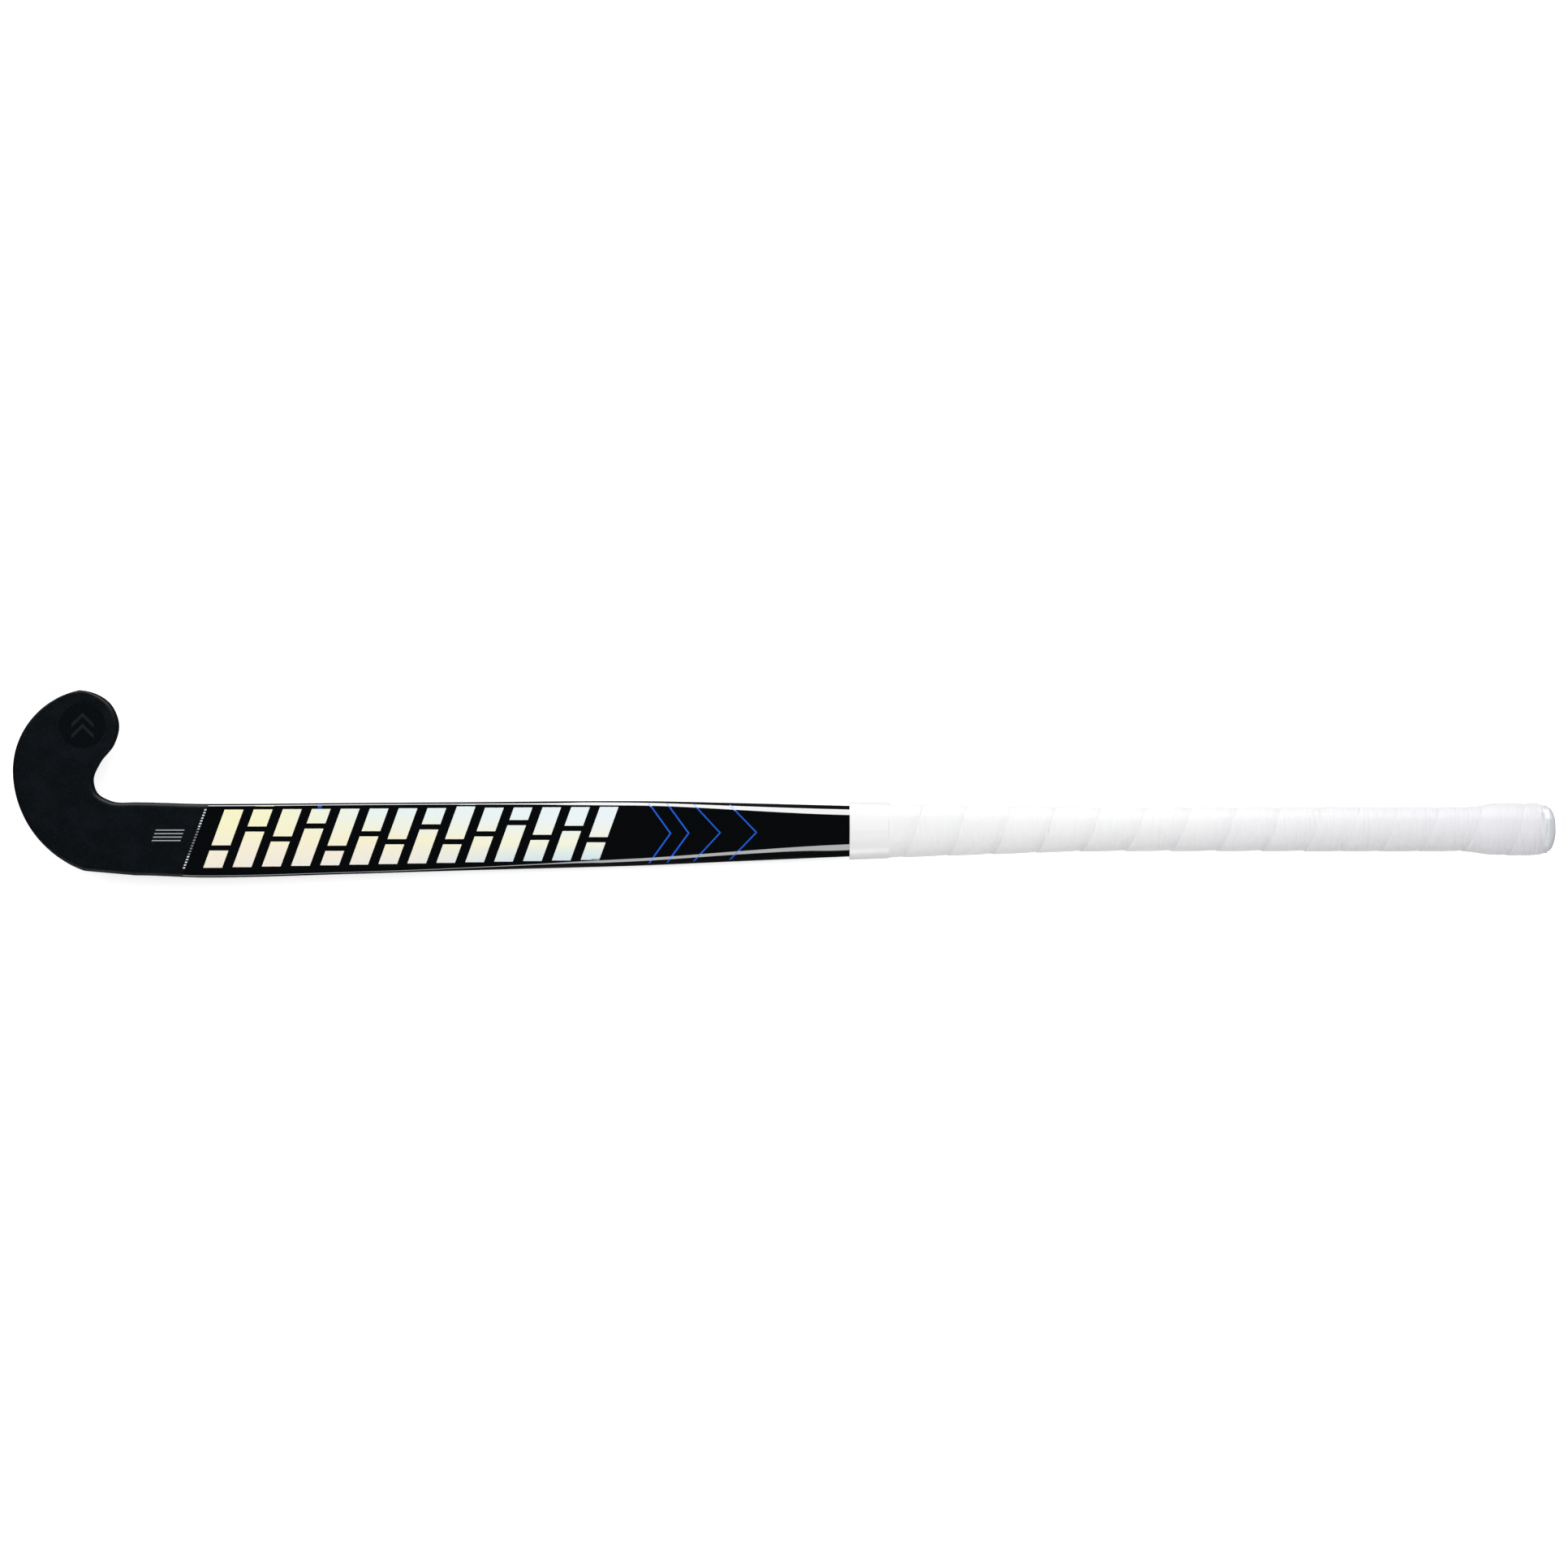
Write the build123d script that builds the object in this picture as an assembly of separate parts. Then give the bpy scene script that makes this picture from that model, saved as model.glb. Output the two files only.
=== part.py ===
"""Field hockey stick, 36.5 inch adult size, lying on its back with the flat playing face up.

X runs from the head to the butt, Y towards the tip of the hook and Z up. Lengths are in millimetres.
A place on the stick is given by u, its distance from the far end of the head, by Y, and by its depth
below the playing face, because the whole stick is bowed and the face follows the bow.
"""

import os
from bisect import bisect_right
from math import cos, pi, sin, sqrt, tan

from build123d import *

os.makedirs("parts", exist_ok=True)

# Overall sizes
STICK_LENGTH = 927.0
BLADE_WIDTH = 44.4
BLADE_DEPTH = 20.0
HANDLE_WIDTH = 22.6
HANDLE_DEPTH = 22.0

# The bow: the head is straight, then one long arc, then the handle is straight
HEAD_STRAIGHT = 110.0
BOW_LENGTH = 330.0
BOW_TURN = 0.150
HANDLE_SLOPE = 0.035

# Laminate shell, and what fills it
WALL = 2.8
FIT = 0.2
LOOSE_FIT = 0.35
WRAP_THICKNESS = 1.0
LINER_THICKNESS = 0.8
RIB_THICKNESS = 2.4
EDGE_RADIUS = 3.0
BACK_RADIUS = 9.0
TOE_DEPTH = 15.0
RIB_FROM_HEAD = 92.0
LINER_SETBACK = 28.0
PLUG_LENGTH = 26.0

# Grip
GRIP_START = 502.0
CUSHION_THICKNESS = 0.8
TAPE_THICKNESS = 1.5
FLARE = 2.4
FLARE_LENGTH = 42.0
FLARE_RISE = 20.0
FINISHING_WIDTH = 24.0
FINISHING_THICKNESS = 0.3
CAP_HEIGHT = 5.0
CAP_SEAT = 12.0

# Graphics, inlaid flush in the face and clear of its edges
FILM = 0.12
FILM_MARGIN = 1.4
SLANT = tan(20.0 * pi / 180.0)
LINE_WIDTH = 1.1
BADGE_RADIUS = 13.6
MARK_ARM = 6.5
MARK_THICKNESS = 2.4
BAR_COUNT = 4
BAR_LENGTH = 17.0
BAR_WIDTH = 1.0
BAR_PITCH = 2.0
TICK_COUNT = 22
TICK_LENGTH = 1.3
TICK_WIDTH = 0.8
TICK_PITCH = 1.66
EDGE_TICK_LENGTH = 2.4
FOIL_START = 131.0
FOIL_PITCH = 17.3
FOIL_BLOCK = 11.2
FOIL_GAP = 3.2
FOIL_LOW_RISE = 0.020
FOIL_HIGH_RISE = 0.007
FOIL_TALLER_BY = 2.2
FOIL_TALL = [1, 8]
FOIL_SPLITS = [0.34, 0.62, 0.48, 0.70, 0.30, 0.55, 0.40, 0.66, 0.36, 0.52, 0.72, 0.44, 0.60, 0.38]
FOIL_GROUPS = [(0, 3), (3, 6), (6, 9), (9, 12), (12, 14)]
CHEVRON_REACHES = (13.0, 16.0)
CHEVRON_OFFSETS = ((0.0, 11.0), (27.0, 49.0))

# The head outline is drawn for a 44.4 mm blade and grows with the blade
HEAD_SCALE = BLADE_WIDTH / 44.4
HEAD_LENGTH = 72.5
SHAFT_START = HEAD_LENGTH * HEAD_SCALE
SHAFT_LENGTH = STICK_LENGTH - SHAFT_START
SHAFT_SCALE = SHAFT_LENGTH / (927.0 - HEAD_LENGTH)

# Everything below the neck is placed by its share of the shaft's length
TAPER = [
    (0.0, 0.982),
    (0.05, 1.0),
    (0.15, 0.936),
    (0.225, 0.872),
    (0.35, 0.770),
    (0.42, 0.600),
    (0.5, 0.385),
    (0.59, 0.183),
    (0.70, 0.0),
    (1.0, 0.0),
]
MIDDLE = [(0.0, -32.6), (0.05, -33.8), (0.15, -32.5), (0.35, -29.6), (0.5, -28.2)]
MIDDLE += [(0.7, -26.9), (1.0, -26.9)]
NECK_THINNER_BY = 1.5
DEPTH_SHARE = [(0.0, 0.0), (0.15, 0.35), (0.5, 0.9), (0.7, 1.0), (1.0, 1.0)]
STATION_SHARES = [0.025, 0.05, 0.09, 0.14, 0.19, 0.24, 0.29, 0.34, 0.38, 0.42, 0.46, 0.5]
STATION_SHARES += [0.55, 0.6, 0.65, 0.7, 0.78, 0.86, 0.93, 1.0]

# How the two long edges of the face change from a plain rounding to a flat bevel
BEVEL_SHARE = [(0.0, 0.0), (0.2, 0.0), (0.35, 1.0), (1.0, 1.0)]
HOOK_BEVEL_OUT = [(0.0, 0.0), (0.2, 0.0), (0.35, 0.5), (0.5, 2.0), (1.0, 2.0)]
HOOK_BEVEL_IN = [(0.0, EDGE_RADIUS), (0.2, EDGE_RADIUS), (0.35, EDGE_RADIUS), (0.5, 6.3), (1.0, 6.3)]
HOOK_BEVEL_DEPTH = [(0.0, EDGE_RADIUS), (0.2, EDGE_RADIUS), (0.35, 2.2), (0.5, 3.3), (1.0, 3.3)]
HEEL_BEVEL_OUT = [(0.0, 0.0), (0.15, 0.0), (0.35, 2.4), (0.5, 5.1), (1.0, 4.0)]
HEEL_BEVEL_IN = [(0.0, EDGE_RADIUS), (0.15, EDGE_RADIUS), (0.35, 4.9), (0.5, 8.0), (1.0, 7.0)]
HEEL_BEVEL_DEPTH = [(0.0, EDGE_RADIUS), (0.2, EDGE_RADIUS), (0.35, 2.2), (0.5, 2.6), (1.0, 2.6)]
BACK_FULLNESS = [(0.0, 0.76), (0.15, 0.66), (0.4, 0.6), (1.0, 0.56)]

# Where across the depth the sides are widest, and how far in the face may start
WIDEST_AT = 0.46
MOST_BEVEL = 0.4
LEAST_FACE_START = 1.2

# The striking area, which is ground flat: (u, Y) corners inside the rounded edges of the head
FACE_SKIM = 0.05
STRIKING_AREA = [(8, 12), (12, -8), (22, -27), (38, -43), (50, -47.5)]
STRIKING_AREA += [(76, -49.5), (76, -18), (54, -15), (42, -6), (40, 12)]

# How far up the head each body reaches: 0 at the neck, 1 at the tip of the toe
CAVITY_STEP = 0.87
WRAP_STEP = 0.80
CORE_STEP = 0.72
HEAD_FACETS = 32


def along(knots, share):
    """Value at a share of the shaft's length, on a smooth curve through the knots."""
    last = len(knots) - 1
    if share <= knots[0][0]:
        return knots[0][1]
    if share >= knots[last][0]:
        return knots[last][1]
    i = bisect_right([place for place, value in knots], share) - 1
    slopes = []
    for j in (i, i + 1):
        before = knots[max(j - 1, 0)]
        after = knots[min(j + 1, last)]
        here = knots[j]
        rising = (here[1] - before[1]) * (after[1] - here[1]) > 0
        slopes.append((after[1] - before[1]) / (after[0] - before[0]) if rising else 0.0)
    span = knots[i + 1][0] - knots[i][0]
    s = (share - knots[i][0]) / span
    hermite = (1 - s) ** 2 * (1 + 2 * s) * knots[i][1] + s * s * (3 - 2 * s) * knots[i + 1][1]
    return hermite + span * s * (1 - s) * ((1 - s) * slopes[0] - s * slopes[1])


def face_height(x):
    """Height of the middle of the playing face, before the stick is set down."""
    bow_start = HEAD_STRAIGHT - STICK_LENGTH / 2
    bow_end = bow_start + BOW_LENGTH
    past = x - bow_end
    if past >= 0:
        return HANDLE_SLOPE * past
    bend = BOW_TURN / BOW_LENGTH
    inside = max(past, -BOW_LENGTH)
    height = HANDLE_SLOPE * past + bend * inside * inside / 2
    if past < -BOW_LENGTH:
        height += BOW_TURN * (bow_start - x)
    return height


def share_of(u):
    return (u - SHAFT_START) / SHAFT_LENGTH


def edges_at(u):
    """Y of the hook-side and of the heel-side edge of the bare shaft."""
    share = share_of(u)
    width = HANDLE_WIDTH + (BLADE_WIDTH - HANDLE_WIDTH) * along(TAPER, share)
    middle = along(MIDDLE, share) * HEAD_SCALE
    return middle + width / 2, middle - width / 2


def depth_at(share):
    neck = BLADE_DEPTH - NECK_THINNER_BY
    return neck + (HANDLE_DEPTH - neck) * along(DEPTH_SHARE, share)


def head_outlines():
    """The crook edge and the heel edge of the head, both from the neck to the tip of the toe."""
    hook_y, heel_y = edges_at(SHAFT_START)
    k = HEAD_SCALE
    neck_x = SHAFT_START
    tip = (39.0 * k, 56.8 * k)
    crook = Edge.make_spline(
        [
            (neck_x, hook_y),
            (57.5 * k, -9.9 * k),
            (49.0 * k, -4.9 * k),
            (46.7 * k, 3.0 * k),
            (51.0 * k, 13.6 * k),
            (59.0 * k, 24.0 * k),
            (62.0 * k, 36.0 * k),
            (57.2 * k, 48.4 * k),
            tip,
        ],
        tangents=[(-1, 0.03), (-1, 0.02)],
    )
    sole = Edge.make_line((neck_x, heel_y), (42.1 * k, -51.8 * k))
    lower_heel = Edge.make_three_point_arc(sole @ 1, (9.3 * k, -24.6 * k), (0, 8.0 * k))
    upper_heel = Edge.make_three_point_arc(lower_heel @ 1, (13.6 * k, 42.5 * k), tip)
    return crook, Wire([sole, lower_heel, upper_heel])


CROOK, HEEL = head_outlines()
HEAD_STEPS = [0.975, 0.95, 0.915, 0.87, 0.8, 0.72, 0.64, 0.56, 0.48, 0.4, 0.32, 0.24, 0.16, 0.08, 0.0]


def quarter(start, end, reach_start, reach_end):
    """Control points of a smooth curve that leaves start and reaches end by the given steps."""
    leave = (start[0] + reach_start[0], start[1] + reach_start[1])
    arrive = (end[0] - reach_end[0], end[1] - reach_end[1])
    return [start, leave, arrive, end]


def side_curves(width, inset, out, inner, depth, bevel, middle, back, top, fullness):
    """The face corner, the side and half the back, as (distance in from the edge, depth) points."""
    face_end = (max(inner + 0.4 * bevel * inset, inset + LEAST_FACE_START), top + inset)
    edge = (out + inset, top + depth + 0.4 * inset)
    side = (inset, middle)
    apex = (width / 2, back - inset)
    run = edge[0] - face_end[0]
    drop = edge[1] - face_end[1]
    round_share = 0.55 * (1 - bevel)
    chord_share = bevel / 3
    corner = quarter(
        face_end,
        edge,
        (run * (round_share + chord_share), drop * chord_share),
        (run * chord_share, drop * (round_share + chord_share)),
    )
    fall = side[1] - edge[1]
    flank = quarter(edge, side, (-out * 0.5, fall * 0.33), (0, fall * 0.4))
    rest = quarter(side, apex, (0, (apex[1] - side[1]) * fullness), ((apex[0] - side[0]) * fullness, 0))
    return corner, flank, rest


def ring(hook_edge, heel_edge, share, inset, top, back):
    """One closed cross-section between two points (u, Y) on the edges of the stick."""
    width = sqrt((hook_edge[0] - heel_edge[0]) ** 2 + (hook_edge[1] - heel_edge[1]) ** 2)
    bevel = along(BEVEL_SHARE, share)
    fullness = along(BACK_FULLNESS, share)
    middle = top + WIDEST_AT * (back - top)
    sides = []
    for outs, inners, depths in (
        (HOOK_BEVEL_OUT, HOOK_BEVEL_IN, HOOK_BEVEL_DEPTH),
        (HEEL_BEVEL_OUT, HEEL_BEVEL_IN, HEEL_BEVEL_DEPTH),
    ):
        out = along(outs, share)
        inner = min(along(inners, share), width * MOST_BEVEL)
        depth = along(depths, share)
        sides.append(side_curves(width, inset, out, inner, depth, bevel, middle, back, top, fullness))
    hook_side, heel_side = sides

    def place(point, from_heel):
        s = point[0] / width
        if from_heel:
            s = 1 - s
        u = hook_edge[0] + (heel_edge[0] - hook_edge[0]) * s
        y = hook_edge[1] + (heel_edge[1] - hook_edge[1]) * s
        x = u - STICK_LENGTH / 2
        return Vector(x, y, face_height(x) - point[1])

    hook_curves = [[place(p, False) for p in curve] for curve in hook_side]
    heel_curves = [[place(p, True) for p in curve] for curve in heel_side]
    edges = [Edge.make_line(heel_curves[0][0], hook_curves[0][0])]
    edges += [Edge.make_bezier(*curve) for curve in hook_curves]
    edges += [Edge.make_bezier(*reversed(curve)) for curve in reversed(heel_curves)]
    return Wire(edges)


def head_ring(step, inset):
    """Cross-section of the head; step is 0 at the neck and 1 at the tip of the toe."""
    crook = CROOK @ step
    heel = HEEL @ step
    neck_depth = depth_at(0)
    back = neck_depth + (TOE_DEPTH - neck_depth) * step
    to_tip = (Vector(CROOK @ 1) - (crook + heel) / 2).length
    face_gap = max(0.0, 1 - to_tip / EDGE_RADIUS)
    back_gap = max(0.0, 1 - to_tip / BACK_RADIUS)
    top = EDGE_RADIUS * (1 - sqrt(1 - face_gap**2))
    back -= 0.7 * BACK_RADIUS * (1 - sqrt(1 - back_gap**2))
    return ring((crook.X, crook.Y), (heel.X, heel.Y), 0.0, inset, top, back)


def shaft_ring(u, inset):
    hook_y, heel_y = edges_at(u)
    share = share_of(u)
    return ring((u, hook_y), (u, heel_y), share, inset, 0.0, depth_at(share))


def shaft_stations(start, end):
    """Places for cross-sections between two distances from the head end, both ends included."""
    inner = [SHAFT_START + share * SHAFT_LENGTH for share in STATION_SHARES]
    spaced = [u for u in inner if start + 6 < u < end - 6]
    return [start, *spaced, end]


def whole(inset, toe_step, end):
    """Head and shaft in one body, everywhere inset from the outside of the stick."""
    rings = [head_ring(step, inset) for step in HEAD_STEPS if step <= toe_step]
    rings += [shaft_ring(u, inset) for u in shaft_stations(SHAFT_START, end)[1:]]
    return Solid.make_loft(rings)


def head_fill(inset, toe_step, end):
    """The head alone, inset all round, in short flat facets that keep inside the cavity."""
    rings = [head_ring(toe_step * (1 - k / HEAD_FACETS), inset) for k in range(HEAD_FACETS + 1)]
    rings.append(shaft_ring(end, inset))
    return Solid.make_loft(rings, ruled=True)


def sleeve(start, end, inset):
    """A length of the shaft's cross-section, inset all round."""
    return Solid.make_loft([shaft_ring(u, inset) for u in shaft_stations(start, end)])


def prism(points, low=-60.0, high=120.0):
    """An upright block over an outline of (u, Y) points."""
    outline = Wire.make_polygon([(u - STICK_LENGTH / 2, y, low) for u, y in points])
    return Solid.extrude(Face(outline), Vector(0, 0, high - low))


def stretch_of_stick(start, end):
    """A block that holds everything between two distances from the head end."""
    side = 2 * BLADE_WIDTH
    return prism([(start, -side), (end, -side), (end, side), (start, side)])


def over_striking_area():
    """A block over the striking area of the head, whose bottom is the true plane of the face."""
    points = []
    for u, y in STRIKING_AREA:
        x = u * HEAD_SCALE - STICK_LENGTH / 2
        points.append((x, y * HEAD_SCALE, face_height(x) - FACE_SKIM))
    return Solid.extrude(Face(Wire.make_polygon(points)), Vector(0, 0, BLADE_WIDTH))


def rib_middle(u):
    """Y of the rib's middle plane, a straight line between the ends of the air chambers."""
    start = sum(edges_at(RIB_START)) / 2
    end = sum(edges_at(RIB_END)) / 2
    return start + (end - start) * (u - RIB_START) / (RIB_END - RIB_START)


def rib_side_prism(side, gap):
    """The space on one side of the rib's middle plane, from gap outwards."""
    far = side * BLADE_WIDTH * 2
    ends = (RIB_START - 10, RIB_END + 10)
    near = [(u, rib_middle(u) + side * gap) for u in ends]
    return prism([*near, (ends[1], far), (ends[0], far)])


def chamber_liner(side):
    """Bladder skin left in one of the two air chambers; it starts past the thick laminate of the neck."""
    start = RIB_START + LINER_SETBACK
    end = RIB_END - 1
    outside = sleeve(start, end, WALL + FIT)
    inside = sleeve(start + LINER_THICKNESS, end - LINER_THICKNESS, WALL + FIT + LINER_THICKNESS)
    gap = RIB_THICKNESS / 2 + FIT
    hollow = inside & rib_side_prism(side, gap + LINER_THICKNESS)
    return (outside & rib_side_prism(side, gap)) - hollow


def film(outlines):
    """Thin graphics let into the surface, following the face and the bevels they cross."""
    blocks = [prism(points) for points in outlines]
    column = Compound(blocks) & outer
    return column - column.moved(Location((0, 0, -FILM)))


def slanted_block(u, width, low, high):
    """A leaning four-sided block; u is where its left side crosses Y = 0."""
    corners = [(u, low), (u + width, low), (u + width, high), (u, high)]
    return [(place + SLANT * y, y) for place, y in corners]


def bent_line(u, reach):
    """A line from edge to edge of the stick that bends towards the butt halfway."""
    hook_y, heel_y = edges_at(u)
    top = hook_y - FILM_MARGIN
    bottom = heel_y + FILM_MARGIN
    middle = (top + bottom) / 2
    left = [(u, bottom), (u + reach, middle), (u, top)]
    return left + [(place + LINE_WIDTH, y) for place, y in reversed(left)]


# Laminate shell: one moulding, hollowed while over-long, then cut open at the butt end
SHELL_END = STICK_LENGTH - CAP_SEAT
outer = whole(0.0, 1.0, SHELL_END + 30)
cavity = whole(WALL, CAVITY_STEP, SHELL_END + 20)
hollow_stick = (outer - cavity) - stretch_of_stick(SHELL_END, SHELL_END + 60)
hollow_stick = hollow_stick - over_striking_area()

# Graphics on the face: two foil blocks to a column, which climb slightly towards the grip
foil_low = -50.0 * HEAD_SCALE
foil_high = -15.0 * HEAD_SCALE
columns = []
for number, split in enumerate(FOIL_SPLITS):
    left = SHAFT_START + (FOIL_START - HEAD_LENGTH + number * FOIL_PITCH) * SHAFT_SCALE
    width = FOIL_BLOCK * SHAFT_SCALE
    low = foil_low + FOIL_LOW_RISE * number * FOIL_PITCH * HEAD_SCALE
    high = foil_high + FOIL_HIGH_RISE * number * FOIL_PITCH * HEAD_SCALE
    if number in FOIL_TALL:
        high += FOIL_TALLER_BY
    cut = low + (high - low) * split
    lower = slanted_block(left, width, low, cut - FOIL_GAP / 2)
    upper = slanted_block(left, width, cut + FOIL_GAP / 2, high)
    columns.append([lower, upper])

bars = []
for number in range(BAR_COUNT):
    low = (-27.8 - BAR_PITCH * number) * HEAD_SCALE
    bars.append(slanted_block(94.6 * HEAD_SCALE, BAR_LENGTH * HEAD_SCALE, low, low + BAR_WIDTH))

ticks = []
for number in range(TICK_COUNT):
    low = (-50.4 + TICK_PITCH * number) * HEAD_SCALE
    ticks.append(slanted_block(119.0 * HEAD_SCALE, TICK_LENGTH, low, low + TICK_WIDTH))

chevron_start = SHAFT_START + 0.36 * SHAFT_LENGTH
chevrons = []
for reach, offsets in zip(CHEVRON_REACHES, CHEVRON_OFFSETS):
    chevrons.append([bent_line(chevron_start + offset, reach) for offset in offsets])

edge_tick_u = SHAFT_START + 0.127 * SHAFT_LENGTH
edge_tick_end = edge_tick_u + EDGE_TICK_LENGTH
edge_tick_high = edges_at(edge_tick_u)[0] - FILM_MARGIN
edge_tick_low = edge_tick_high - TICK_LENGTH
edge_tick = [
    (edge_tick_u, edge_tick_low),
    (edge_tick_end, edge_tick_low),
    (edge_tick_end, edge_tick_high),
    (edge_tick_u, edge_tick_high),
]

# Round badge on the toe, pierced by two chevrons
badge_u = 41.5 * HEAD_SCALE
badge_y = 35.5 * HEAD_SCALE
badge_column = Solid.make_cylinder(
    BADGE_RADIUS * HEAD_SCALE, 180, Plane((badge_u - STICK_LENGTH / 2, badge_y, -60))
)
for lift_y in (-4.5, 2.0):
    arm = MARK_ARM * HEAD_SCALE
    y = badge_y + lift_y * HEAD_SCALE
    thick = MARK_THICKNESS * HEAD_SCALE
    left = [(badge_u - arm, y - arm / 2), (badge_u, y + arm / 2), (badge_u + arm, y - arm / 2)]
    right = [(place, height + thick) for place, height in reversed(left)]
    badge_column -= prism(left + right)
badge_column = badge_column & outer

parts = {}
parts["toe_badge"] = badge_column - badge_column.moved(Location((0, 0, -FILM)))
parts["control_zone_bars"] = film(bars)
parts["control_zone_ticks"] = film(ticks)
for number, (first, last) in enumerate(FOIL_GROUPS, start=1):
    parts[f"foil_blocks_{number}"] = film([block for column in columns[first:last] for block in column])
for number, lines in enumerate(chevrons, start=1):
    parts[f"blue_chevron_{number}"] = film(lines)
parts["blue_edge_tick"] = film([edge_tick])
films = [solid for shape in parts.values() for solid in shape.solids()]
parts["laminate_shell"] = hollow_stick.cut(*films)

# Inside the head: foam core in its aramid wrap
RIB_START = RIB_FROM_HEAD * HEAD_SCALE
WRAP_END = RIB_START - 2
wrap_outside = head_fill(WALL + LOOSE_FIT, WRAP_STEP, WRAP_END)
wrap_inside = head_fill(WALL + LOOSE_FIT + WRAP_THICKNESS, CORE_STEP, WRAP_END + 1)
parts["head_aramid_wrap"] = wrap_outside - wrap_inside
parts["head_core"] = head_fill(WALL + LOOSE_FIT + WRAP_THICKNESS + FIT, CORE_STEP, WRAP_END)

# Inside the shaft: a rib between two air chambers, each with its liner
GRIP_AT = SHAFT_START + (GRIP_START - HEAD_LENGTH) * SHAFT_SCALE
RIB_END = GRIP_AT - 6
rib_slab = rib_side_prism(1, -RIB_THICKNESS / 2) & rib_side_prism(-1, -RIB_THICKNESS / 2)
parts["centre_rib"] = sleeve(RIB_START, RIB_END, WALL + FIT) & rib_slab
parts["chamber_liner_hook_side"] = chamber_liner(1)
parts["chamber_liner_heel_side"] = chamber_liner(-1)

# Inside the handle: foam, then a plug at the butt
PLUG_START = SHELL_END - PLUG_LENGTH
parts["handle_core"] = sleeve(RIB_END + FIT, PLUG_START - FIT, WALL + FIT)
parts["butt_plug"] = sleeve(PLUG_START, SHELL_END, WALL + LOOSE_FIT)

# Grip: cushion, a tapered collar that flares the end, and the tape over both
COLLAR_START = SHELL_END - FLARE_LENGTH
cushion_top = -(FIT + CUSHION_THICKNESS)


def flare_at(u):
    """How far the collar lifts the tape at a place near the butt."""
    rise = min(1.0, max(0.0, (u - COLLAR_START) / FLARE_RISE))
    return FLARE * rise * rise * (3 - 2 * rise)


def grip_layer(start, end, inset, flared):
    """Solid body out to a layer's surface; the flare lifts it near the butt."""
    stations = shaft_stations(start, end)
    if flared:
        stations = [u for u in stations if u < COLLAR_START - 4 or u == end]
        steps = [COLLAR_START + FLARE_RISE * k / 8 for k in range(9)]
        stations = sorted(set(stations + [u for u in steps if start < u < end]))
    rings = [shaft_ring(u, inset - (flare_at(u) if flared else 0.0)) for u in stations]
    return Solid.make_loft(rings, ruled=True)


cushion_end = COLLAR_START - FIT
parts["grip_cushion"] = grip_layer(GRIP_AT, cushion_end, cushion_top, False) - sleeve(
    GRIP_AT - 1, cushion_end + 1, -FIT
)
parts["butt_collar"] = grip_layer(COLLAR_START, SHELL_END, cushion_top, True) - sleeve(
    COLLAR_START - 1, SHELL_END + 1, -FIT
)
tape_under = cushion_top - FIT
tape_top = tape_under - TAPE_THICKNESS
CAP_START = STICK_LENGTH - CAP_HEIGHT
tape_body = grip_layer(GRIP_AT, CAP_START - FIT, tape_top, True)
parts["grip_tape"] = tape_body - grip_layer(GRIP_AT - 1, CAP_START + 1, tape_under, True)
finishing_end = GRIP_AT + FINISHING_WIDTH
finishing_top = tape_top - FIT - FINISHING_THICKNESS
parts["grip_finishing_tape"] = sleeve(GRIP_AT, finishing_end, finishing_top) - sleeve(
    GRIP_AT - 1, finishing_end + 1, tape_top - FIT
)

# Butt cap: a low dome, with a neck inside the end of the tape
cap_rings = []
DOME_STEPS = 6
neck_inset = cushion_top - FLARE
dome_fall = HANDLE_WIDTH / 2 - 0.8
for step in range(DOME_STEPS + 1):
    angle = pi / 2 * step / DOME_STEPS
    dome_inset = neck_inset + 1 + dome_fall * (1 - cos(angle))
    cap_rings.append(shaft_ring(CAP_START + CAP_HEIGHT * sin(angle), dome_inset))
neck = sleeve(SHELL_END + FIT, CAP_START, neck_inset)
parts["butt_cap"] = Solid.make_loft(cap_rings) + neck

# Set the stick down on its back and centre it over the origin
lowest = min(shape.bounding_box().min.Z for shape in parts.values())
sides = parts["laminate_shell"].bounding_box()
set_down = Location((0, -(sides.min.Y + sides.max.Y) / 2, -lowest))
for name, shape in parts.items():
    export_step(shape.moved(set_down), f"parts/{name}.step")
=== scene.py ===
"""Looks of the field hockey stick: lacquered shell, foil graphics and wound white grip."""

from bisect import bisect_right
from math import cos, hypot, pi, radians, sin, sqrt, tan

import bmesh
import bpy
from mathutils import Matrix, Vector
from mathutils.geometry import interpolate_bezier


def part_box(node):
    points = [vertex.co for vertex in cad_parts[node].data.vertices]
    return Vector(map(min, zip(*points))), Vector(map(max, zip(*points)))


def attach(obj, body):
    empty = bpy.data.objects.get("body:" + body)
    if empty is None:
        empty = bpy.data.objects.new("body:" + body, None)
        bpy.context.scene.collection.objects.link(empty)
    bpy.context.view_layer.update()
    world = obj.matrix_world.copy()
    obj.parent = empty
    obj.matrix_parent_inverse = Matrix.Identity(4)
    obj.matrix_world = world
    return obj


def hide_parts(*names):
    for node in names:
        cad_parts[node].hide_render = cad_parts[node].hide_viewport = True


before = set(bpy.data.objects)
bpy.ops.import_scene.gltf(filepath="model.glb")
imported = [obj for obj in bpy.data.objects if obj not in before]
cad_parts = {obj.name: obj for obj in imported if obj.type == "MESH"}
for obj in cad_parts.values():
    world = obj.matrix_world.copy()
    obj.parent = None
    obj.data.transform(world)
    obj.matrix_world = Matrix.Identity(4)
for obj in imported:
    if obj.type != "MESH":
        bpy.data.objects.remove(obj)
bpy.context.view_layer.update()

MM = 0.001

# ---------------------------------------------------------------- the stick's own measures, in mm

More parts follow.
